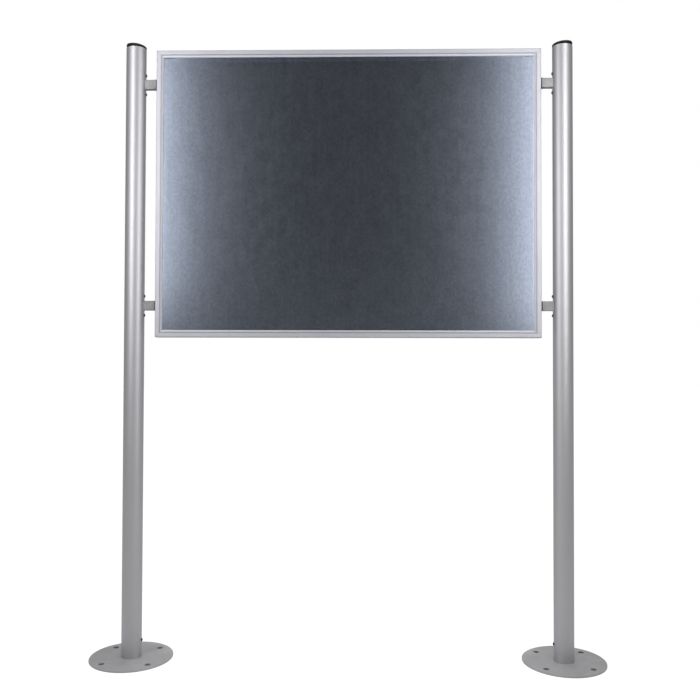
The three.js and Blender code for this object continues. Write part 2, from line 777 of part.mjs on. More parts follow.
addCase();
addPanel();
addDoor();
addSeal();
addHinge();
addCylinder();
addCam();
addStrike();
addLockCover();
const postCentre = boardWidth / 2 + boardSide;
addStand("left", -postCentre, 0);
addStand("right", postCentre, Math.PI);

export default noticeBoard;
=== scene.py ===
# %% [markdown]
# # A lockable notice board on two posts
#
# A wide glazed showcase hangs between two round steel posts. The frame of the board is pressed aluminium,
# the posts are ground steel tube on round base plates, and notices are held by magnets on a galvanised
# sheet behind the glass. The door opens to the left, and a cam lock in the lower edge holds it shut.
#
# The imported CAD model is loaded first, as a fixed frame. Every piece made below sits where the CAD piece
# sits, so nothing has to be fitted by eye.

# %% Load the fixed frame
import json
from math import asin, cos, pi, radians, sin

import bmesh
import bpy
from mathutils import Matrix, Vector

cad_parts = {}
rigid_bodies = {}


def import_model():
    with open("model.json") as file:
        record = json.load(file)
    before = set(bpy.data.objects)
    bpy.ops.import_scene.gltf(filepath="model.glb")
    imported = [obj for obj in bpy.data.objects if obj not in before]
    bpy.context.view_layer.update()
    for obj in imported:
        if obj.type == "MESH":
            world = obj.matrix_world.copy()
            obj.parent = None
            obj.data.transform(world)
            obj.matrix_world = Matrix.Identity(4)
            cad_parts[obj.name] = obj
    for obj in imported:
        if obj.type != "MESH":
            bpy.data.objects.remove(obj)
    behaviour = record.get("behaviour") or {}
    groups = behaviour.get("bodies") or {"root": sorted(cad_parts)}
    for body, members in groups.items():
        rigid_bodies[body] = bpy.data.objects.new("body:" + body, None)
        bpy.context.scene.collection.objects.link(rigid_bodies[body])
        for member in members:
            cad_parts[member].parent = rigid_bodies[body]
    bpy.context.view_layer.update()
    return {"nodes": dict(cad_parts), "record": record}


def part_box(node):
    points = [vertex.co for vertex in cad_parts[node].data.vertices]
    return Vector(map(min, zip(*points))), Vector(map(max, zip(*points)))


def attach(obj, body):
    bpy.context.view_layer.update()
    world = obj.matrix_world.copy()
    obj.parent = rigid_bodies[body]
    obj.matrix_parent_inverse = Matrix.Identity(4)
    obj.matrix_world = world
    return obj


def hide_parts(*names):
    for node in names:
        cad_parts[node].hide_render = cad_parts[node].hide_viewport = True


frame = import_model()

mm = 0.001
scene = bpy.context.scene
nodes = frame["nodes"]

# %% [markdown]
# ## The camera
#
# The photograph was taken from just right of the board's middle, at about the height of its lower edge and
# two and a half metres away. The place, turn and lens come from fitting straight edges of the board and
# posts, so the verticals lean in the picture by the same amount as in the photograph. Depth of field
# stays off.

# %% The photographer's camera
def set_camera(place, turn, tip, roll, lens):
    data = bpy.data.cameras.new("camera")
    data.lens = lens
    data.sensor_width = 36
    data.clip_start = 0.05
    camera = bpy.data.objects.new("camera", data)
    level_look = Matrix.Rotation(turn, 4, "Z") @ Matrix.Rotation(pi / 2 + tip, 4, "X")
    camera.matrix_world = Matrix.Translation(place) @ level_look @ Matrix.Rotation(roll, 4, "Z")
    scene.collection.objects.link(camera)
    scene.camera = camera
    print("camera at", tuple(round(v, 3) for v in place), "lens", round(lens, 1), "mm")

set_camera(place=(0.0618, -2.4504, 0.9107), turn=0.0218, tip=0.0209, roll=0.0028, lens=40.26)
scene.view_settings.view_transform = "Standard"

# %% [markdown]
# ## Light, world and floor
#
# The posts show what stood in the studio: one tall soft light on each side of the camera. Both end a
# little above the board's lower edge, since the bright bands on the posts fade below it. Two tall area
# lights give the same bands, and the same glow near both ends of the panel. The room itself is dark behind
# the camera, a plain grey to the sides, and has a pale ceiling, which lights the base plates. The eye sees
# white all round, and so do metal and glass that look past the object at the backdrop. The floor shines
# white for the eye too, but not where a base plate covers it, or its anchor holes would shine.

# %% Two tall soft lights
def soft_light(name, place, aim, width, height, power):
    data = bpy.data.lights.new(name, "AREA")
    data.shape = "RECTANGLE"
    data.size = width
    data.size_y = height
    data.energy = power
    light = bpy.data.objects.new(name, data)
    light.location = place
    light.rotation_euler = (Vector(aim) - Vector(place)).to_track_quat("-Z", "Y").to_euler()
    light.visible_camera = False
    scene.collection.objects.link(light)

soft_light("left_light", place=(-1.075, -1.0775, 1.86), aim=(-0.165, -0.6615, 1.86),
           width=0.47, height=1.4, power=13.6)
soft_light("right_light", place=(0.938, -0.975, 1.8), aim=(0.023, -0.573, 1.8),
           width=0.54, height=1.5, power=13.7)

# %% Helpers for shader nodes
def feed(tree, socket, value):
    """Links the socket to another node's output, or sets it to a number."""
    if isinstance(value, (int, float)):
        socket.default_value = value
    else:
        tree.links.new(value, socket)

def socket_maths(tree, operation, first, second):
    step = tree.nodes.new("ShaderNodeMath")
    step.operation = operation
    for socket, value in zip(step.inputs, (first, second)):
        feed(tree, socket, value)
    return step.outputs[0]

def remap(tree, value, low, high, from_low=0.0, from_high=1.0, smooth=False):
    """Moves a value that runs from from_low to from_high so that it runs from low to high."""
    step = tree.nodes.new("ShaderNodeMapRange")
    if smooth:
        step.interpolation_type = "SMOOTHSTEP"
    wanted = {"Value": value, "From Min": from_low, "From Max": from_high, "To Min": low, "To Max": high}
    for socket, number in wanted.items():
        feed(tree, step.inputs[socket], number)
    return step.outputs[0]

def axes_of(tree, coordinate="Object"):
    """X, Y and Z of the place on the object. For the world, Generated gives the direction looked in."""
    place = tree.nodes.new("ShaderNodeTexCoord")
    split = tree.nodes.new("ShaderNodeSeparateXYZ")
    tree.links.new(place.outputs[coordinate], split.inputs[0])
    return split.outputs

def looked_at(tree, path, last_step=0):
    """1 where the eye sees this straight, or through nothing but glass. For the world, Blender counts the
    last step of the ray as one more, which last_step takes off."""
    turns = socket_maths(tree, "SUBTRACT", path.outputs["Ray Depth"], path.outputs["Transmission Depth"])
    straight = socket_maths(tree, "LESS_THAN", turns, last_step + 0.5)
    through_glass = socket_maths(tree, "MULTIPLY", path.outputs["Is Transmission Ray"], straight)
    return socket_maths(tree, "MAXIMUM", path.outputs["Is Camera Ray"], through_glass)

# %% The world: grey to light by, white to look at
studio_dark = 0.06       # behind the camera
studio_grey = 0.2        # to the sides and rear
studio_ceiling = 0.5

world = bpy.data.worlds.new("studio")
world.use_nodes = True
scene.world = world
tree = world.node_tree
background = tree.nodes["Background"]
background.inputs["Color"].default_value = (1, 1, 1, 1)
path = tree.nodes.new("ShaderNodeLightPath")
direction = axes_of(tree, "Generated")
backdrop = remap(tree, direction["Y"], 0.0, 1.0, from_low=0.85, from_high=1.0, smooth=True)
mirrored = socket_maths(tree, "MULTIPLY", path.outputs["Is Glossy Ray"], backdrop)
shown = socket_maths(tree, "MAXIMUM", looked_at(tree, path, last_step=1), mirrored)
walls = remap(tree, direction["Y"], studio_dark, studio_grey, from_low=-1.0, from_high=-0.3, smooth=True)
ceiling = remap(tree, direction["Z"], 0.0, studio_ceiling, from_low=0.35, from_high=0.8, smooth=True)
room = socket_maths(tree, "MAXIMUM", walls, ceiling)
tree.links.new(remap(tree, shown, room, 1.0), background.inputs["Strength"])
print("world strength:", studio_dark, "to", studio_ceiling, "for light, 1 for the eye")

# %% The floor: a pale sheet that keeps the object's soft shadow
floor_glow = 0.85
floor_in_metal = 0.4     # how much of the glow shows in metal
floor_size = 60
floor_drop = 0.5 * mm    # the floor lies this far under the base plates
covered_inset = 6 * mm   # the glow starts this far inside a plate's rim

bpy.ops.object.select_all(action="DESELECT")
bpy.ops.mesh.primitive_plane_add(size=floor_size, location=(0, 0, -floor_drop))
floor = bpy.context.object
floor.name = "floor"
floor_finish = bpy.data.materials.new("pale_floor")
floor_finish.use_nodes = True
tree = floor_finish.node_tree
paint = tree.nodes["Principled BSDF"]
paint.inputs["Base Color"].default_value = (0.5, 0.5, 0.5, 1)
paint.inputs["Roughness"].default_value = 0.9
paint.inputs["Specular IOR Level"].default_value = 0.0
path = tree.nodes.new("ShaderNodeLightPath")
partly = socket_maths(tree, "MULTIPLY", path.outputs["Is Glossy Ray"], floor_in_metal)
lit = socket_maths(tree, "MAXIMUM", looked_at(tree, path), partly)
low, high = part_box("right_base_plate")
stand_x = (low.x + high.x) / 2
covered = (high.x - low.x) / 2 - covered_inset
place = axes_of(tree)
from_stand = socket_maths(tree, "SUBTRACT", socket_maths(tree, "ABSOLUTE", place["X"], 0), stand_x)
across = socket_maths(tree, "MULTIPLY", from_stand, from_stand)
along = socket_maths(tree, "MULTIPLY", place["Y"], place["Y"])
open_floor = socket_maths(tree, "GREATER_THAN", socket_maths(tree, "ADD", across, along), covered ** 2)
glow = remap(tree, socket_maths(tree, "MULTIPLY", lit, open_floor), 0.0, floor_glow)
tree.links.new(glow, paint.inputs["Emission Strength"])
paint.inputs["Emission Color"].default_value = (1, 1, 1, 1)
floor.data.materials.append(floor_finish)
print("floor", tuple(round(v, 1) for v in floor.dimensions))

# %% [markdown]
# ## Making a finish
#
# Every finish starts from one Principled shader. Its even values are set on its own sockets. What varies
# over the real surface is added by small helpers: a pattern read in object coordinates that tints the
# colour, moves the roughness, or lifts the surface a little as a bump.

# %% Helpers for finishes
def finish(name, colour, metallic, roughness, **even):
    made = bpy.data.materials.new(name)
    made.use_nodes = True
    shader = made.node_tree.nodes["Principled BSDF"]
    shader.inputs["Base Color"].default_value = (*colour, 1)
    shader.inputs["Metallic"].default_value = metallic
    shader.inputs["Roughness"].default_value = roughness
    for socket, value in even.items():
        shader.inputs[socket.replace("_", " ")].default_value = value
    return made

def pattern(made, kind, stretch, **settings):
    """A noise or cell pattern in object coordinates. stretch is cells per metre along X, Y and Z."""
    tree = made.node_tree
    place = tree.nodes.new("ShaderNodeTexCoord")
    scale = tree.nodes.new("ShaderNodeMapping")
    scale.inputs["Scale"].default_value = stretch
    texture = tree.nodes.new(kind)
    texture.inputs["Scale"].default_value = 1.0
    for socket, value in settings.items():
        texture.inputs[socket].default_value = value
    tree.links.new(place.outputs["Object"], scale.inputs["Vector"])
    tree.links.new(scale.outputs[0], texture.inputs["Vector"])
    return texture.outputs

def tint(made, value, dark, light, from_low=0.3, from_high=0.7):
    """Colours the surface between dark and light."""
    tree = made.node_tree
    ramp = tree.nodes.new("ShaderNodeValToRGB")
    ramp.color_ramp.elements[0].position = from_low
    ramp.color_ramp.elements[1].position = from_high
    ramp.color_ramp.elements[0].color = (*dark, 1)
    ramp.color_ramp.elements[1].color = (*light, 1)
    tree.links.new(value, ramp.inputs[0])
    tree.links.new(ramp.outputs[0], tree.nodes["Principled BSDF"].inputs["Base Color"])
    return ramp.outputs[0]

def roughen(made, value, low, high, from_low=0.3, from_high=0.7):
    """Makes the roughness run from low to high."""
    tree = made.node_tree
    roughness = remap(tree, value, low, high, from_low, from_high)
    tree.links.new(roughness, tree.nodes["Principled BSDF"].inputs["Roughness"])

def lift(made, value, height, strength=1.0):
    """Raises the surface by up to height, in metres, as a bump."""
    tree = made.node_tree
    bump = tree.nodes.new("ShaderNodeBump")
    bump.inputs["Distance"].default_value = height
    bump.inputs["Strength"].default_value = strength
    tree.links.new(value, bump.inputs["Height"])
    tree.links.new(bump.outputs[0], tree.nodes["Principled BSDF"].inputs["Normal"])

def paint_over(made, colour, where, new_colour):
    """Keeps the colour, except where the mask is 1: there the surface takes the new one."""
    tree = made.node_tree
    mix = tree.nodes.new("ShaderNodeMix")
    mix.data_type = "RGBA"
    mix.inputs["B"].default_value = (*new_colour, 1)
    tree.links.new(where, mix.inputs["Factor"])
    tree.links.new(colour, mix.inputs["A"])
    tree.links.new(mix.outputs["Result"], tree.nodes["Principled BSDF"].inputs["Base Color"])

NOISE = "ShaderNodeTexNoise"
CELLS = "ShaderNodeTexVoronoi"

# %% [markdown]
# ## Anodised aluminium
#
# The frame's bars are pressed through a die, which leaves very fine lines along each bar, and the oxide
# coat makes them satin. Upright and level bars need the lines turned, so there are two finishes that
# differ in which way the noise is stretched, and in the axis along which the groove is found. The groove's
# floor on the door's face is painted darker, as painted shade.

# %% The frame's satin aluminium
board_left, board_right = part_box("case_left")[0].x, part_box("case_right")[1].x
board_bottom, board_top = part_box("case_bottom")[0].z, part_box("case_top")[1].z
groove_middle = 15.25 * mm    # from the board's edge
groove_reach = 1.7 * mm       # to each side of the groove's middle
behind_face = -16.5 * mm      # what lies in front of this belongs to the door's face
# painted shade: the colour of the groove's floor
groove_shade_colour = (0.38, 0.38, 0.41)
fine, drawn_out = 2600.0, 9.0     # the die's lines per metre, across the bar and along it

def paint_groove_shade(made, colour, across, low, high):
    """Paints shade in the groove: its floor on the door's face takes a darker colour. across is the axis
    from edge to edge.
    """
    tree = made.node_tree
    place = axes_of(tree)
    from_middle = socket_maths(tree, "SUBTRACT", place[across], (low + high) / 2)
    to_side = socket_maths(tree, "ABSOLUTE", from_middle, 0)
    from_groove = socket_maths(tree, "SUBTRACT", to_side, (high - low) / 2 - groove_middle)
    near = socket_maths(tree, "LESS_THAN", socket_maths(tree, "ABSOLUTE", from_groove, 0), groove_reach)
    front = socket_maths(tree, "LESS_THAN", place["Y"], behind_face)
    paint_over(made, colour, socket_maths(tree, "MULTIPLY", near, front), groove_shade_colour)

def satin_aluminium(name, die_lines):
    made = finish(name, (0.6, 0.605, 0.65), 0.8, 0.6)
    lines = pattern(made, NOISE, die_lines, Detail=3.0, Roughness=0.6)
    cloud = pattern(made, NOISE, (14, 14, 14), Detail=4.0, Roughness=0.55)
    colour = tint(made, cloud["Fac"], (0.58, 0.585, 0.632), (0.62, 0.625, 0.67))
    roughen(made, lines["Fac"], 0.56, 0.64)
    lift(made, lines["Fac"], 0.04 * mm, 0.6)
    return made, colour

aluminium_level, colour = satin_aluminium("aluminium_level", (drawn_out, fine, fine))
paint_groove_shade(aluminium_level, colour, "Z", board_bottom, board_top)
aluminium_upright, colour = satin_aluminium("aluminium_upright", (fine, fine, drawn_out))
paint_groove_shade(aluminium_upright, colour, "X", board_left, board_right)
print("frame finishes:", aluminium_level.name, aluminium_upright.name)

# %% [markdown]
# ## Ground steel, plate steel and cast metal
#
# The posts are ground along their length: a bright satin with long fine scratches. The base plates are
# blasted, so they are matt and even, with a few darker clouds from handling. The arms are small castings
# with a fine sandy skin.

# %% Painted shade in the anchor holes
anchor_inset = 27.5 * mm      # from the plate's rim to the middle of a hole
hole_shade_radius = 9 * mm
# painted shade: the colour inside the anchor holes
hole_shade_colour = (0.2, 0.2, 0.2)

def paint_hole_shade(made, colour):
    """The anchor holes lie at 45 degrees round each post, and each is painted darker, as painted shade."""
    tree = made.node_tree
    low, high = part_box("right_base_plate")
    hole = ((high.x - low.x) / 2 - anchor_inset) * cos(pi / 4)
    place = axes_of(tree)
    away = []
    for axis, middle in (("X", (low.x + high.x) / 2), ("Y", 0.0)):
        folded = socket_maths(tree, "ABSOLUTE", place[axis], 0)
        from_post = socket_maths(tree, "ABSOLUTE", socket_maths(tree, "SUBTRACT", folded, middle), 0)
        from_hole = socket_maths(tree, "SUBTRACT", from_post, hole)
        away.append(socket_maths(tree, "MULTIPLY", from_hole, from_hole))
    inside = socket_maths(tree, "LESS_THAN", socket_maths(tree, "ADD", *away), hole_shade_radius ** 2)
    paint_over(made, colour, inside, hole_shade_colour)

# %% Steel and cast finishes
post_steel = finish("post_steel", (0.66, 0.66, 0.69), 0.98, 0.54)
scratches = pattern(post_steel, NOISE, (1900, 1900, 7), Detail=4.0, Roughness=0.65)
patches = pattern(post_steel, NOISE, (9, 9, 4), Detail=3.0)
tint(post_steel, patches["Fac"], (0.62, 0.622, 0.647), (0.655, 0.655, 0.678))
roughen(post_steel, scratches["Fac"], 0.51, 0.57)
lift(post_steel, scratches["Fac"], 0.03 * mm, 0.5)

plate_steel = finish("plate_steel", (0.59, 0.59, 0.6), 0.45, 0.52)
blast = pattern(plate_steel, NOISE, (1500, 1500, 1500), Detail=2.0)
clouds = pattern(plate_steel, NOISE, (11, 11, 11), Detail=5.0, Roughness=0.6)
colour = tint(plate_steel, clouds["Fac"], (0.585, 0.586, 0.602), (0.69, 0.69, 0.702))
paint_hole_shade(plate_steel, colour)
roughen(plate_steel, clouds["Fac"], 0.6, 0.46)
lift(plate_steel, blast["Fac"], 0.06 * mm, 0.5)

bracket_metal = finish("bracket_metal", (0.25, 0.25, 0.256), 0.6, 0.45)
skin = pattern(bracket_metal, NOISE, (1100, 1100, 1100), Detail=3.0)
shade = pattern(bracket_metal, NOISE, (60, 60, 60), Detail=3.0)
tint(bracket_metal, shade["Fac"], (0.22, 0.22, 0.226), (0.28, 0.28, 0.287))
roughen(bracket_metal, skin["Fac"], 0.38, 0.52)
lift(bracket_metal, skin["Fac"], 0.08 * mm, 0.6)

cast_zinc = finish("cast_zinc", (0.42, 0.43, 0.45), 0.7, 0.55)
grain = pattern(cast_zinc, NOISE, (700, 700, 700), Detail=4.0)
tint(cast_zinc, grain["Fac"], (0.36, 0.37, 0.39), (0.48, 0.49, 0.51))
lift(cast_zinc, grain["Fac"], 0.1 * mm, 0.6)
print("post, plate, bracket and cast finishes made")

# %% [markdown]
# ## The galvanised panel
#
# Hot zinc freezes on the sheet in small crystals. Each crystal mirrors in its own direction, so up close
# the sheet is mottled, and from further off it is a dark blue grey that glows where it mirrors a light.
# Cells of a Voronoi pattern, mixed with noise, give each crystal its own shade, and the roughness changes
# in soft patches. Faint upright streaks from the rolling mill run through it.

# %% Galvanised sheet
galvanised = finish("galvanised_sheet", (0.23, 0.255, 0.315), 1.0, 0.29)
tree = galvanised.node_tree
crystals = pattern(galvanised, CELLS, (210, 210, 150), Randomness=1.0)
crystal_shade = tree.nodes.new("ShaderNodeSeparateColor")
tree.links.new(crystals["Color"], crystal_shade.inputs[0])
speckle = pattern(galvanised, NOISE, (900, 900, 900), Detail=3.0, Roughness=0.6)
streaks = pattern(galvanised, NOISE, (160, 160, 3.5), Detail=3.0, Roughness=0.5)
mottle = socket_maths(tree, "ADD", crystal_shade.outputs[0], speckle["Fac"])
mottle = socket_maths(tree, "ADD", mottle, streaks["Fac"])
mottle = socket_maths(tree, "DIVIDE", mottle, 3.0)      # the mean of the three patterns
tint(galvanised, mottle, (0.2, 0.222, 0.276), (0.262, 0.29, 0.358), from_high=0.72)
patches = pattern(galvanised, NOISE, (45, 45, 30), Detail=3.0, Roughness=0.55)
roughen(galvanised, patches["Fac"], 0.28, 0.31)
lift(galvanised, streaks["Fac"], 0.03 * mm, 0.3)

# %% [markdown]
# ## Glass, plastic, rubber and bright metal
#
# The pane is clear: the eye sees real glass, while light on its way to and from the panel behind passes
# by a Transparent shader, so that the panel is lit evenly and without grain. The caps are moulded with a
# fine leather-like skin, the seal and pads are dull rubber with a little dust, and the small turned
# pieces are stainless steel or nickel plate.

# %% Clear glass
clear_glass = finish("clear_glass", (0.97, 0.985, 0.98), 0.0, 0.015, IOR=1.5, Transmission_Weight=1.0)
tree = clear_glass.node_tree
light_passes = tree.nodes.new("ShaderNodeBsdfTransparent")
choose = tree.nodes.new("ShaderNodeMixShader")
path = tree.nodes.new("ShaderNodeLightPath")
seen = socket_maths(tree, "MAXIMUM", path.outputs["Is Camera Ray"], path.outputs["Is Transmission Ray"])
tree.links.new(seen, choose.inputs[0])
tree.links.new(light_passes.outputs[0], choose.inputs[1])
tree.links.new(tree.nodes["Principled BSDF"].outputs[0], choose.inputs[2])
tree.links.new(choose.outputs[0], tree.nodes["Material Output"].inputs["Surface"])

# %% Plastic, rubber, stainless steel and nickel
black_plastic = finish("black_plastic", (0.012, 0.012, 0.013), 0.0, 0.42, Specular_IOR_Level=0.25)
skin = pattern(black_plastic, CELLS, (900, 900, 900), Randomness=1.0)
dust = pattern(black_plastic, NOISE, (70, 70, 70), Detail=5.0)
tint(black_plastic, dust["Fac"], (0.009, 0.009, 0.01), (0.022, 0.022, 0.023))
roughen(black_plastic, dust["Fac"], 0.36, 0.55)
lift(black_plastic, skin["Distance"], 0.08 * mm, 0.5)

rubber = finish("rubber", (0.02, 0.02, 0.021), 0.0, 0.75)
dust = pattern(rubber, NOISE, (260, 260, 260), Detail=5.0)
tint(rubber, dust["Fac"], (0.012, 0.012, 0.013), (0.04, 0.039, 0.041))
roughen(rubber, dust["Fac"], 0.7, 0.9)
lift(rubber, dust["Fac"], 0.06 * mm, 0.5)

grey_seal = finish("grey_seal", (0.42, 0.42, 0.43), 0.0, 0.6)
bloom = pattern(grey_seal, NOISE, (200, 200, 200), Detail=4.0)
tint(grey_seal, bloom["Fac"], (0.37, 0.37, 0.38), (0.47, 0.47, 0.48))
roughen(grey_seal, bloom["Fac"], 0.52, 0.7)
lift(grey_seal, bloom["Fac"], 0.04 * mm, 0.5)

blackened = finish("blackened_steel", (0.05, 0.05, 0.053), 0.7, 0.4)
wear = pattern(blackened, NOISE, (600, 600, 600), Detail=4.0)
tint(blackened, wear["Fac"], (0.035, 0.035, 0.038), (0.085, 0.085, 0.088))
roughen(blackened, wear["Fac"], 0.32, 0.5)

stainless = finish("stainless", (0.55, 0.555, 0.57), 0.95, 0.28)
turning = pattern(stainless, NOISE, (1400, 1400, 1400), Detail=3.0)
tint(stainless, turning["Fac"], (0.5, 0.505, 0.52), (0.6, 0.605, 0.62))
roughen(stainless, turning["Fac"], 0.22, 0.36)
lift(stainless, turning["Fac"], 0.02 * mm, 0.5)

nickel = finish("nickel_plate", (0.6, 0.58, 0.54), 1.0, 0.18)
haze = pattern(nickel, NOISE, (420, 420, 420), Detail=4.0)
tint(nickel, haze["Fac"], (0.55, 0.53, 0.49), (0.64, 0.62, 0.58))
roughen(nickel, haze["Fac"], 0.14, 0.28)
print("all finishes:", len(bpy.data.materials))

# %% [markdown]
# ## Which CAD piece gets which finish
#
# The record names a material slot for each node. Bars of the frame take the level or the upright
# aluminium by the side of the board they are on. The screws in the posts show as dark dots in the
# photograph, so they are blackened, and the seal is a grey one, since no dark line shows behind the pane.

# %% Finishes on every CAD node
finish_of_slot = {
    "anodised": aluminium_level,
    "post_steel": post_steel,
    "plate_steel": plate_steel,
    "bracket_metal": bracket_metal,
    "zinc": galvanised,
    "pane": clear_glass,
    "black_plastic": black_plastic,
    "rubber": rubber,
    "cast_zinc": cast_zinc,
    "stainless": stainless,
    "nickel": nickel,
}
slot_of_node = {part["node"]: part["material_slot"] for part in frame["record"]["subparts"]}
body_of_node = {n: body for body, members in frame["record"]["behaviour"]["bodies"].items() for n in members}

def finish_for(node):
    slot = slot_of_node[node]
    if slot == "anodised" and node.endswith(("_left", "_right")):
        return aluminium_upright
    if slot == "stainless" and node.startswith(("left_", "right_")):
        return blackened      # the screws in the posts
    if node == "door_seal":
        return grey_seal
    return finish_of_slot[slot]

for name, node in nodes.items():
    node.data.materials.clear()
    node.data.materials.append(finish_for(name))
print("finished nodes:", len(slot_of_node))

# %% [markdown]
# ## Working as by hand
#
# An operator acts on all that is selected, so each piece starts with nothing selected. In edit mode,
# faces and edges are chosen by a test on their place or direction. A finished piece has its place applied
# to its mesh, takes its finish, rides on its body and stands for its CAD node.

# %% Selecting, and modifiers
def nothing_selected():
    if bpy.context.object and bpy.context.object.mode == "EDIT":
        bpy.ops.object.mode_set(mode="OBJECT")
    bpy.ops.object.select_all(action="DESELECT")

def work_on(piece):
    nothing_selected()
    piece.select_set(True)
    bpy.context.view_layer.objects.active = piece

def choose_in(piece, what, test):
    """In edit mode, selects only the edges or faces for which test(middle, normal) is true."""
    bpy.ops.mesh.select_all(action="DESELECT")
    bpy.context.tool_settings.mesh_select_mode = (False, what == "edges", what == "faces")
    mesh = bmesh.from_edit_mesh(piece.data)
    mesh.normal_update()
    for item in getattr(mesh, what):
        middle = sum((v.co for v in item.verts), Vector()) / len(item.verts)
        normal = item.normal if what == "faces" else None
        item.select_set(bool(test(middle, normal)))
    bmesh.update_edit_mesh(piece.data)

def add_modifier(piece, kind, **settings):
    work_on(piece)
    bpy.ops.object.modifier_add(type=kind)
    modifier = piece.modifiers[-1]
    for name, value in settings.items():
        setattr(modifier, name, value)
    bpy.ops.object.modifier_apply(modifier=modifier.name)

def shade_smooth(piece, angle=30):
    """Shades the faces smooth, and keeps the edges that are sharper than angle."""
    work_on(piece)
    bpy.ops.object.shade_smooth_by_angle(angle=radians(angle))

def soften(piece, width, segments=2, angle=35):
    """Breaks the sharp edges, as a file would, and shades the rest smooth."""
    add_modifier(piece, "BEVEL", width=width, segments=segments, limit_method="ANGLE",
                 angle_limit=radians(angle))
    shade_smooth(piece, angle)
    add_modifier(piece, "WEIGHTED_NORMAL", keep_sharp=True)

# %% Settling a piece in its node's place
def settle(piece, node):
    """The piece takes the node's place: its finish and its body."""
    work_on(piece)
    bpy.ops.object.transform_apply(location=True, rotation=True, scale=True)
    piece.name = node + "_piece"
    piece.data.name = piece.name
    piece.data.materials.clear()
    piece.data.materials.append(finish_for(node))
    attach(piece, body_of_node[node])
    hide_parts(node)
    return piece

def copy_of(piece):
    twin = piece.copy()
    twin.data = piece.data.copy()
    scene.collection.objects.link(twin)
    return twin

def report(piece):
    low = [min(v.co[i] for v in piece.data.vertices) for i in range(3)]
    high = [max(v.co[i] for v in piece.data.vertices) for i in range(3)]
    size = [round((b - a) / mm, 1) for a, b in zip(low, high)]
    print(f"{piece.name}: {len(piece.data.polygons)} faces, {size} mm")

# %% Blocks, turned pieces and cuts
def block(middle, size):
    nothing_selected()
    bpy.ops.mesh.primitive_cube_add(size=1, location=middle)
    piece = bpy.context.object
    piece.scale = size
    bpy.ops.object.transform_apply(location=True, rotation=True, scale=True)
    return piece

def join_all(pieces):
    """Joins the pieces into the first one."""
    nothing_selected()
    for piece in pieces:
        piece.select_set(True)
    bpy.context.view_layer.objects.active = pieces[0]
    bpy.ops.object.join()
    return pieces[0]

def turned_piece(name, profile, steps=96):
    """A lathe: a point is drawn along the profile of (radius, height) in mm and spun about the Z axis."""
    nothing_selected()
    bpy.ops.mesh.primitive_plane_add(size=mm)
    piece = bpy.context.object
    piece.name = name
    bpy.ops.object.mode_set(mode="EDIT")
    bpy.context.tool_settings.mesh_select_mode = (True, False, False)
    bpy.ops.mesh.select_all(action="SELECT")
    bpy.ops.mesh.merge(type="CENTER")
    first = profile[0]
    bpy.ops.transform.translate(value=(first[0] * mm, 0, first[1] * mm))
    for (r0, z0), (r1, z1) in zip(profile, profile[1:]):
        step = ((r1 - r0) * mm, 0, (z1 - z0) * mm)
        bpy.ops.mesh.extrude_region_move(TRANSFORM_OT_translate={"value": step})
    bpy.ops.mesh.select_all(action="SELECT")
    bpy.ops.mesh.spin(steps=steps, angle=2 * pi, center=(0, 0, 0), axis=(0, 0, 1))
    bpy.ops.mesh.select_all(action="SELECT")
    bpy.ops.mesh.remove_doubles(threshold=1e-6)
    bpy.ops.mesh.normals_make_consistent(inside=False)
    bpy.ops.object.mode_set(mode="OBJECT")
    return piece

def cut(piece, tool):
    """Takes the tool's shape out of the piece, then throws the tool away."""
    add_modifier(piece, "BOOLEAN", operation="DIFFERENCE", object=tool, solver="EXACT")
    bpy.data.objects.remove(tool)

# %% [markdown]
# ## Posts
#
# Each post is a length of round tube. An open cylinder is given its wall inwards, and the outer edge of
# the top is chamfered, which shows as a bright line under the cap. The drilled holes lie under the
# screws' heads and behind the arms, so the tube is left whole and its long faces stay smooth.

# %% The two posts
post_radius = 31 * mm
post_wall = 2.5 * mm
turn_of = {"left": 0.0, "right": pi}   # each stand is drawn with the board towards +X, then turned
post_x = {side: sum(c.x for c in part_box(f"{side}_post")) / 2 for side in turn_of}
post_foot, post_top = (corner.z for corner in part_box("left_post"))
post_length = post_top - post_foot

def on_outer_top_edge(point, normal):
    near = 0.1 * mm
    return point.z > post_length / 2 - near and Vector((point.x, point.y)).length > post_radius - near

nothing_selected()
bpy.ops.mesh.primitive_cylinder_add(
    vertices=128, radius=post_radius, depth=post_length, end_fill_type="NOTHING",
    location=(post_x["left"], 0, (post_foot + post_top) / 2))
post = bpy.context.object
add_modifier(post, "SOLIDIFY", thickness=post_wall, offset=-1, use_even_offset=True)
bpy.ops.object.mode_set(mode="EDIT")
choose_in(post, "edges", on_outer_top_edge)
bpy.ops.mesh.bevel(offset=1 * mm, segments=2)
bpy.ops.object.mode_set(mode="OBJECT")
soften(post, 0.25 * mm, segments=1, angle=50)
right_post = copy_of(post)
right_post.location.x = post_x["right"]
for side, piece in (("left", post), ("right", right_post)):
    report(settle(piece, f"{side}_post"))

# %% [markdown]
# ## Placing pieces of a stand
#
# Everything on a post is drawn about the post's foot with the board towards +X. The right-hand stand is
# the same set turned half round, as on the real board, whose two stands are alike. A mirrored copy would
# turn the meshes inside out.

# %% A helper that places a piece on its stand
def on_stand(piece, side, place=(0, 0, 0), turn=Matrix.Identity(4), shift=(0, 0, 0)):
    stand = Matrix.Translation((post_x[side], 0, 0)) @ Matrix.Rotation(turn_of[side], 4, "Z")
    piece.matrix_world = stand @ Matrix.Translation(place) @ turn @ Matrix.Translation(shift)
    return piece

# %% [markdown]
# ## Post caps
#
# A moulded cap: a flat rim, a low dome, and a hollow plug that goes into the tube. In the photograph both
# caps sit a little crooked, with the outer side up, so the plug shows under the rim. The profile is turned
# on the lathe helper, and the cap is tipped about the rim's edge next to the board.

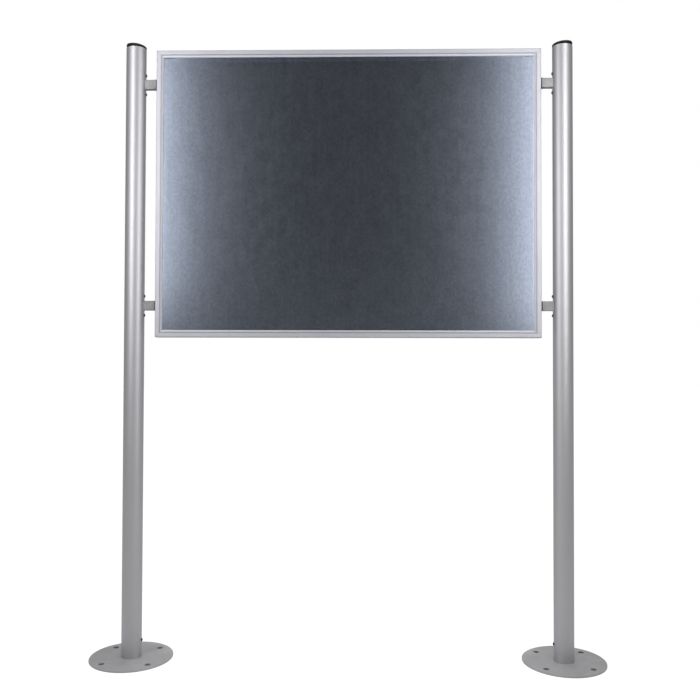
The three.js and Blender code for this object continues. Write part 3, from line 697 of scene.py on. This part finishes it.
# %% The two caps
cap_tilt = radians(5)
cap_gap = 0.3 * mm
radius = post_radius / mm     # profiles are in millimetres
rim_height, dome_height, rounding = 5.6, 7.0, 0.8
plug_radius, plug_depth, plug_hollow = 26.5, 14, 24
dome_steps = 14
ball = (radius ** 2 + dome_height ** 2) / (2 * dome_height)
ball_middle = rim_height + dome_height - ball
dome_end = asin((radius - 1.2 * rounding) / ball)
dome = [(ball * sin(dome_end * i / dome_steps), ball_middle + ball * cos(dome_end * i / dome_steps))
        for i in range(dome_steps, -1, -1)]
hollow = [(0, 1), (plug_hollow, 1), (plug_hollow, 0.4 - plug_depth), (plug_hollow + 0.4, -plug_depth)]
plug = [(plug_radius - 0.9, -plug_depth), (plug_radius, 1.6 - plug_depth), (plug_radius, 0)]
rim = [(radius - 0.4, 0), (radius, 0.4), (radius, rim_height - rounding), (radius - 0.2, rim_height - 0.15)]
cap = turned_piece("post_cap", hollow + plug + rim + dome)
shade_smooth(cap, 40)
caps = {"left": cap, "right": copy_of(cap)}
for side, piece in caps.items():
    tip = Matrix.Rotation(cap_tilt, 4, "Y")
    on_stand(piece, side, (post_radius, 0, post_top + cap_gap), tip, (-post_radius, 0, 0))
    report(settle(piece, f"{side}_post_cap"))

# %% [markdown]
# ## Base plates
#
# A turned disc with a short tube welded on, over which the post slips. Four holes for ground anchors lie
# at 45 degrees, and each is countersunk. One hole's shape is turned as a drill, and four copies of it are
# cut out of the plate.

# %% The two base plates
plate_low, plate_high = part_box("left_base_plate")
plate_radius = (plate_high.x - plate_low.x) / 2 / mm
plate_thickness = 5.0
edge_round = 0.8
spigot = radius - post_wall / mm - 0.3     # the tube's outer radius, with room in the post
spigot_wall = 3
spigot_top = plate_high.z / mm
anchor_hole, countersink = 6, 9.3          # radii
edge = [(plate_radius, 0.3), (plate_radius, plate_thickness - edge_round),
        (plate_radius - 0.25, plate_thickness - 0.25), (plate_radius - edge_round, plate_thickness)]
tube = [(spigot, plate_thickness), (spigot, spigot_top - 1), (spigot - 1, spigot_top),
        (spigot - spigot_wall, spigot_top), (spigot - spigot_wall, plate_thickness), (0, plate_thickness)]
plate = turned_piece("base_plate", [(0, 0), (plate_radius - 0.3, 0)] + edge + tube, 128)

drill_shape = [(0, -1), (anchor_hole, -1), (anchor_hole, 1.9), (anchor_hole + 0.1, 2),
               (countersink - 0.4, 4.8), (countersink, 5.1), (countersink, 6), (0, 6)]
drill = turned_piece("drill", drill_shape, 48)
anchor_reach = plate_radius * mm - anchor_inset
for quarter in range(4):
    angle = pi / 4 + quarter * pi / 2
    bit = copy_of(drill)
    bit.location = (anchor_reach * cos(angle), anchor_reach * sin(angle), 0)
    cut(plate, bit)
bpy.data.objects.remove(drill)
shade_smooth(plate)
plates = {"left": plate, "right": copy_of(plate)}
for side, piece in plates.items():
    report(settle(on_stand(piece, side), f"{side}_base_plate"))

# %% [markdown]
# ## Button-head screws
#
# Ten screws of one kind hold the stand together. One is turned, its socket is cut with a six-sided tool,
# and it is laid on its side with the head towards the board. The others are copies.

# %% One screw, and its copies
def hexagon_tool(across, bottom, top):
    nothing_selected()
    corner_radius = across / 2 / cos(pi / 6)
    bpy.ops.mesh.primitive_cylinder_add(vertices=6, radius=corner_radius * mm, depth=(top - bottom) * mm,
                                        location=(0, 0, (top + bottom) / 2 * mm))
    return bpy.context.object

def domed_screw(head, height, shank, length, across):
    """head and shank are diameters, across is the width of the socket. The head's seat is at 0, and its
    dome is a curve from the edge towards a corner above it, and on to a flat middle."""
    steps = 8
    socket_depth = 1.5
    dome_start, dome_corner, dome_flat = (head / 2, 0.6), (head / 2.2, height), (head / 4, height)
    curve = []
    for i in range(steps + 1):
        t = i / steps
        three = zip(dome_start, dome_corner, dome_flat)
        curve.append(tuple((1 - t) ** 2 * a + 2 * t * (1 - t) * b + t * t * c for a, b, c in three))
    body = [(0, -length), (shank / 2 - 0.4, -length), (shank / 2, 0.4 - length), (shank / 2, 0),
            (head / 2 - 0.15, 0), (head / 2, 0.15)]
    screw = turned_piece("button_screw", body + curve + [(0, height)], 48)
    cut(screw, hexagon_tool(across, height - socket_depth, height + 1))
    shade_smooth(screw)
    return screw

screw = domed_screw(head=9.5, height=2.75, shank=5.0, length=8.5, across=3.0)
head_seat = post_radius + 0.3 * mm
on_its_side = Matrix.Rotation(pi / 2, 4, "Y")
screw_names = ["base_screw"]
screw_names += [f"{level}_screw_{end}" for level in ("upper", "lower") for end in ("low", "high")]
for side in turn_of:
    for name in screw_names:
        low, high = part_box(f"{side}_{name}")
        piece = on_stand(copy_of(screw), side, (head_seat, 0, (low.z + high.z) / 2), on_its_side)
        settle(piece, f"{side}_{name}")
bpy.data.objects.remove(screw)
print("screws:", len(screw_names) * len(turn_of))

# %% [markdown]
# ## Bracket arms
#
# An arm is a small block with rounded long edges. Towards the board it ends in a thin neck and a slightly
# deeper flange, with a rubber pad of the same size that shows as a dark line beside the frame. The open
# door's edge comes close to both, so they are no deeper than it leaves room for. The arm's other end is
# hollowed to sit on the round post. The block is added at its size, two cuts mark the neck, the skin
# between them is pushed in, and a cylinder takes out the saddle.

# %% Sizes of arm and pad
board_gap = 41.0          # between the post's surface and the board
seam = 0.3                # between pieces that touch
arm_depth, arm_height = 16, 30
corner_round = 1.5
saddle_height = 40
flange_thickness, flange_depth = 6, 20
pad_thickness = 6.2
pad_start = radius + board_gap - seam - pad_thickness
flange_end = pad_start - seam
flange_start = flange_end - flange_thickness
neck_width, neck_recess = 0.8, 0.6
neck_start = flange_start - neck_width
stud_diameter, stud_reach = 6, 9      # the stud goes this far into the board
bolt_bore, bolt_room = 8.6, 15        # the hollow for the nut plate's stud, and its depth from the post

# %% Helpers for arm and pad
def arm_block(x0, x1, depth):
    return block(((x0 + x1) / 2 * mm, 0, 0), ((x1 - x0) * mm, depth * mm, arm_height * mm))

def rod_tool(diameter, x0, x1, facets=32):
    """A round rod along X."""
    nothing_selected()
    bpy.ops.mesh.primitive_cylinder_add(vertices=facets, radius=diameter / 2 * mm, depth=(x1 - x0) * mm,
                                        location=((x0 + x1) / 2 * mm, 0, 0), rotation=(0, pi / 2, 0))
    return bpy.context.object

def round_long_edges(piece, depth):
    def on_corner(point, normal):
        from_corner = abs(abs(point.y) - depth / 2 * mm), abs(abs(point.z) - arm_height / 2 * mm)
        return max(from_corner) < 0.01 * mm
    work_on(piece)
    bpy.ops.object.mode_set(mode="EDIT")
    choose_in(piece, "edges", on_corner)
    bpy.ops.mesh.bevel(offset=corner_round * mm, segments=5)

# %% One arm
def on_neck(point, normal):
    neck_middle = (neck_start + flange_start) / 2 * mm
    return abs(point.x - neck_middle) < 0.2 * mm and abs(normal.x) < 0.1

arm = arm_block(radius / 2, flange_start + 1, arm_depth)
arm.name = "bracket_arm"
round_long_edges(arm, arm_depth)
for x in (neck_start, flange_start):
    bpy.ops.mesh.select_all(action="SELECT")
    bpy.ops.mesh.bisect(plane_co=(x * mm, 0, 0), plane_no=(1, 0, 0))
choose_in(arm, "faces", on_neck)
bpy.ops.mesh.extrude_region_shrink_fatten(TRANSFORM_OT_shrink_fatten={"value": -neck_recess * mm})
bpy.ops.object.mode_set(mode="OBJECT")
nothing_selected()
bpy.ops.mesh.primitive_cylinder_add(vertices=128, radius=(radius + seam) * mm, depth=saddle_height * mm)
cut(arm, bpy.context.object)
cut(arm, rod_tool(bolt_bore, 0, radius + bolt_room, 64))
soften(arm, 0.2 * mm)
report(arm)

# %% Flange and stud, and the copies of the whole arm
flange = arm_block(flange_start, flange_end, flange_depth)
round_long_edges(flange, flange_depth)
soften(flange, 0.2 * mm)
stud = rod_tool(stud_diameter, flange_end - 1, radius + board_gap + stud_reach)
shade_smooth(stud, 40)
join_all([arm, stud, flange])
levels = {level: sum(c.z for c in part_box(f"left_{level}_arm")) / 2 for level in ("upper", "lower")}
for side in turn_of:
    for level, z in levels.items():
        report(settle(on_stand(copy_of(arm), side, (0, 0, z)), f"{side}_{level}_arm"))
bpy.data.objects.remove(arm)

# %% One pad, and its copies
pad_end = pad_start + pad_thickness
pad = arm_block(pad_start, pad_end, flange_depth)
round_long_edges(pad, flange_depth)
bpy.ops.object.mode_set(mode="OBJECT")
cut(pad, rod_tool(stud_diameter + 2 * seam, pad_start - 1, pad_end + 1))
soften(pad, 0.3 * mm)
for side in turn_of:
    for level, z in levels.items():
        settle(on_stand(copy_of(pad), side, (0, 0, z)), f"{side}_{level}_arm_pad")
bpy.data.objects.remove(pad)
print("pads:", len(turn_of) * len(levels))

# %% [markdown]
# ## Bars, strips and pressed pieces
#
# The frame's bars have the right section in the CAD model already, groove and mitres included. What they
# lack is what a file and a die leave: edges that are not knife sharp. A copy of each is welded, its flat
# faces are joined again, and its edges are broken by a quarter of a millimetre so that they catch light.

# %% Copies with broken edges
def softened_copy(node, width, segments=2):
    piece = copy_of(nodes[node])
    piece.parent = None
    piece.matrix_world = Matrix.Identity(4)
    work_on(piece)
    bpy.ops.object.mode_set(mode="EDIT")
    bpy.ops.mesh.select_all(action="SELECT")
    bpy.ops.mesh.remove_doubles(threshold=1e-6)
    bpy.ops.mesh.select_all(action="SELECT")
    bpy.ops.mesh.dissolve_limited(angle_limit=radians(0.5))
    bpy.ops.object.mode_set(mode="OBJECT")
    soften(piece, width, segments)
    return settle(piece, node)

for bar in ("bottom", "right", "top", "left"):
    report(softened_copy(f"door_{bar}", 0.25 * mm))
    report(softened_copy(f"case_{bar}", 0.25 * mm))
    softened_copy(f"glazing_bead_{bar}", 0.2 * mm)
softened_copy("door_seal", 0.5 * mm)
softened_copy("lock_cover", 0.5 * mm, segments=3)
softened_copy("strike_plate", 0.15 * mm)
softened_copy("lock_cam", 0.2 * mm)

# %% [markdown]
# ## Piano hinge
#
# A piano hinge runs the whole height of the board. Its knuckles belong in turn to the case's leaf and to
# the door's leaf, and a wire goes through them all. A real leaf is rolled from one strip. Here each knuckle
# is a short tube with a web to the flat leaf, at every second place along the edge, since the joint between
# them is hidden in the frame.

# %% Leaves and knuckles
pin_low, pin_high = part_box("hinge_pin")
hinge_x, hinge_y = (pin_low.x + pin_high.x) / 2, (pin_low.y + pin_high.y) / 2
leaf_low, leaf_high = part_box("hinge_leaf_case")
leaf_thickness = 1.2 * mm
knuckle_count = 17
knuckle_pitch = (leaf_high.z - leaf_low.z) / knuckle_count
knuckle_radius, knuckle_wall, knuckle_gap = 4 * mm, 1.7 * mm, 0.3 * mm
leaf_room = 0.3 * mm          # from the knuckles to the flat part of a leaf
web_inside = 1.5 * mm         # a web starts this far from the pin's axis, in the knuckle's wall
web_overlap = 0.5 * mm        # and ends this far inside the flat part
web_share = 0.98              # of the leaf's thickness, so that no two faces coincide

def hinge_knuckle(bottom, top):
    nothing_selected()
    bpy.ops.mesh.primitive_cylinder_add(
        vertices=32, radius=knuckle_radius, depth=top - bottom, end_fill_type="NOTHING",
        location=(hinge_x, hinge_y, (bottom + top) / 2))
    knuckle = bpy.context.object
    add_modifier(knuckle, "SOLIDIFY", thickness=knuckle_wall, offset=-1, use_even_offset=True)
    soften(knuckle, 0.2 * mm, angle=50)
    return knuckle

def hinge_leaf(node, towards, first):
    """towards is -1 on the door's leaf and 1 on the case's, first the place of its lowest knuckle."""
    low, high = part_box(node)
    flat_y = hinge_y + towards * (knuckle_radius - leaf_thickness / 2)
    start_x = hinge_x + knuckle_radius + leaf_room
    leaf = block(((start_x + high.x) / 2, flat_y, (low.z + high.z) / 2),
                 (high.x - start_x, leaf_thickness, leaf_high.z - leaf_low.z))
    soften(leaf, 0.2 * mm)
    parts = [leaf]
    web_start, web_end = hinge_x + web_inside, start_x + web_overlap
    for i in range(first, knuckle_count, 2):
        bottom = leaf_low.z + i * knuckle_pitch + (knuckle_gap / 2 if i else 0)
        top = leaf_low.z + (i + 1) * knuckle_pitch - (knuckle_gap / 2 if i < knuckle_count - 1 else 0)
        parts.append(hinge_knuckle(bottom, top))
        parts.append(block(((web_start + web_end) / 2, flat_y, (bottom + top) / 2),
                           (web_end - web_start, leaf_thickness * web_share, top - bottom)))
    return settle(join_all(parts), node)

report(hinge_leaf("hinge_leaf_case", towards=1, first=0))
report(hinge_leaf("hinge_leaf_door", towards=-1, first=1))

# %% The hinge's pin
pin_radius, head_radius, head_thickness, head_round = 2, 3.2, 0.8, 0.3
tip = (pin_high.z - pin_low.z) / 2 / mm
head_start = tip - head_thickness
upper_half = [(pin_radius, head_start), (head_radius, head_start), (head_radius, tip - head_round),
              (head_radius - head_round, tip), (0, tip)]
lower_half = [(r, -z) for r, z in reversed(upper_half)]
pin = turned_piece("hinge_pin", lower_half + upper_half, 32)
shade_smooth(pin)
pin.location = (hinge_x, hinge_y, (pin_low.z + pin_high.z) / 2)
report(settle(pin, "hinge_pin"))

# %% [markdown]
# ## Cam lock
#
# The lock stands upright in the lower edge. From below one sees the ring of its housing, and in it the
# plug with the key slot. Inside the case the plug carries a hooked cam, held by a small socket screw. The
# round pieces are turned, and the square end, the slot, the thread's hole and the socket are cut or joined
# by booleans, since they break the round form.

# %% The lock's housing
housing_low, housing_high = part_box("lock_housing")
lock_x, lock_y = (housing_low.x + housing_high.x) / 2, (housing_low.y + housing_high.y) / 2
face, back = housing_low.z / mm, housing_high.z / mm
housing_bore, housing_radius = 5.3, 8
ring = [(housing_bore, face + 0.4), (housing_bore + 0.3, face), (housing_radius - 0.6, face),
        (housing_radius, face + 0.6), (housing_radius, back - 0.3), (housing_radius - 0.3, back),
        (housing_bore, back), (housing_bore, face + 0.4)]
housing = turned_piece("lock_housing", ring, 64)
shade_smooth(housing)
housing.location = (lock_x, lock_y, 0)
report(settle(housing, "lock_housing"))

# %% The lock's plug, with its square end, key slot and thread
plug_low, plug_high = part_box("lock_plug")
square_top = plug_high.z / mm
plug_body = 5             # radius
square_width, overlap = 5, 0.5
slot_width, slot_length, slot_depth = 1.4, 7, 6
thread_hole, thread_depth = 1.9, 8.2
plug_shape = [(0, face), (plug_body - 0.4, face), (plug_body, face + 0.4), (plug_body, back), (0, back)]
lock_plug = turned_piece("lock_plug", plug_shape, 64)
square = block((0, 0, (back - overlap + square_top) / 2 * mm),
               (square_width * mm, square_width * mm, (square_top - back + overlap) * mm))
add_modifier(lock_plug, "BOOLEAN", operation="UNION", object=square, solver="EXACT")
bpy.data.objects.remove(square)
slot_tool = block((0, 0, (face + slot_depth / 2 - 0.5) * mm),
                  (slot_width * mm, slot_length * mm, (slot_depth + 1) * mm))
cut(lock_plug, slot_tool)
thread = [(0, square_top - thread_depth), (thread_hole, square_top - thread_depth),
          (thread_hole, square_top + 1), (0, square_top + 1)]
cut(lock_plug, turned_piece("thread", thread, 32))
soften(lock_plug, 0.12 * mm, segments=1, angle=40)
lock_plug.location = (lock_x, lock_y, 0)
report(settle(lock_plug, "lock_plug"))

# %% The cam's screw
screw_low, screw_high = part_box("cam_screw")
foot, crown = screw_low.z / mm, screw_high.z / mm
shank_radius, crown_radius, crown_height = 1.6, 3.5, 1.6
socket_width, socket_depth = 2.5, 1
seat = crown - crown_height
screw_shape = [(0, foot), (shank_radius - 0.2, foot), (shank_radius, foot + 0.2), (shank_radius, seat),
               (crown_radius - 0.1, seat), (crown_radius, seat + 0.1), (crown_radius, crown - 0.3),
               (crown_radius - 0.3, crown), (0, crown)]
cam_screw = turned_piece("cam_screw", screw_shape, 32)
cut(cam_screw, hexagon_tool(socket_width, crown - socket_depth, crown + 1))
shade_smooth(cam_screw)
cam_screw.location = (lock_x, lock_y, 0)
report(settle(cam_screw, "cam_screw"))

# %% [markdown]
# ## No hard shadow of the rim
#
# In the photograph the sheet is as bright right beside the door's rim as further in. The rim stands 19 mm
# in front of the sheet, and the two lights are narrow, so it would draw a dark line along each side.
# Blender's light linking leaves the bars, beads and seal round the pane out of what the lights cast
# shadows of. Everything else keeps its shadows.

# %% The lights pass the door's rim
shadowless = bpy.data.collections.new("rim_without_shadow")
shadowless.objects.link(bpy.data.objects["door_seal_piece"])
for bar in ("left", "right", "top", "bottom"):
    for kind in ("door", "glazing_bead", "case"):
        shadowless.objects.link(bpy.data.objects[f"{kind}_{bar}_piece"])
for member in shadowless.collection_objects:
    member.light_linking.link_state = "EXCLUDE"
for lamp in (o for o in scene.objects if o.type == "LIGHT"):
    lamp.light_linking.blocker_collection = shadowless
